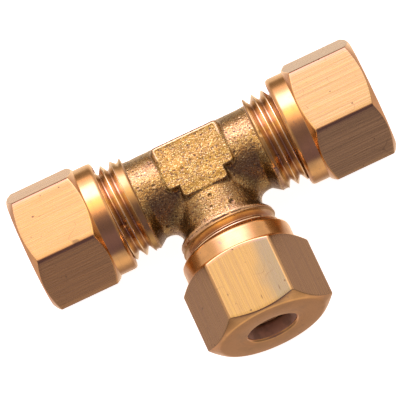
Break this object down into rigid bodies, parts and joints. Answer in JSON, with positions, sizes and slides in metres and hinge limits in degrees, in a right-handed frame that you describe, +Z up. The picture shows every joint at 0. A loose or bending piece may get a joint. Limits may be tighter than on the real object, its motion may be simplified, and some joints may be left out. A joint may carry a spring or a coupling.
{
  "type": "compression fitting",
  "caption": "Brass equal tee compression fitting: forged tee body with threaded spigots, hexagonal compression nuts and olives, for joining small-bore tube.",
  "frame": {"origin": "on the ground below the middle of the bounding box, with the tee lying on a hexagon flat of each of its three nuts", "axes": "+X along the run towards the right nut, -Y along the branch towards its nut, +Z up through the raised pad. The run and branch axes cross at x 0, y 6.6085 mm, z 7 mm"},
  "size_m": [0.0448, 0.0294, 0.014],
  "materials": {
    "forged_brass": "rough as-forged skin, dull golden brown, with machined threaded spigots",
    "turned_brass": "drawn hexagon bar, turned collar and end face, satin",
    "olive_brass": "soft brass, fine turned"
  },
  "bodies": {
    "body": {"tee_body": "forged_brass"},
    "left_olive": {"olive_left": "olive_brass"},
    "left_nut": {"nut_left": "turned_brass"},
    "right_olive": {"olive_right": "olive_brass"},
    "right_nut": {"nut_right": "turned_brass"},
    "branch_olive": {"olive_branch": "olive_brass"},
    "branch_nut": {"nut_branch": "turned_brass"}
  },
  "joints": [
    {"name": "left_travel", "type": "slide", "parent": "body", "child": "left_olive", "axis": [-1, 0, 0], "range_m": [-0.00211, 0.00313]},
    {"name": "left_nut_turn", "type": "hinge", "parent": "left_olive", "child": "left_nut", "pos_m": [0, 0.00661, 0.007], "axis": [-1, 0, 0], "range_deg": [-605, 900]},
    {"name": "right_travel", "type": "slide", "parent": "body", "child": "right_olive", "axis": [1, 0, 0], "range_m": [-0.00211, 0.00313]},
    {"name": "right_nut_turn", "type": "hinge", "parent": "right_olive", "child": "right_nut", "pos_m": [0, 0.00661, 0.007], "axis": [1, 0, 0], "range_deg": [-605, 900]},
    {"name": "branch_travel", "type": "slide", "parent": "body", "child": "branch_olive", "axis": [0, -1, 0], "range_m": [-0.00101, 0.00438]},
    {"name": "branch_nut_turn", "type": "hinge", "parent": "branch_olive", "child": "branch_nut", "pos_m": [0, 0.00661, 0.007], "axis": [0, -1, 0], "range_deg": [-288, 1260]}
  ],
  "couplings": [
    {"joint": "left_travel", "follows": "left_nut_turn", "m_per_rad": 0.00019894},
    {"joint": "right_travel", "follows": "right_nut_turn", "m_per_rad": 0.00019894},
    {"joint": "branch_travel", "follows": "branch_nut_turn", "m_per_rad": 0.00019894}
  ]
}
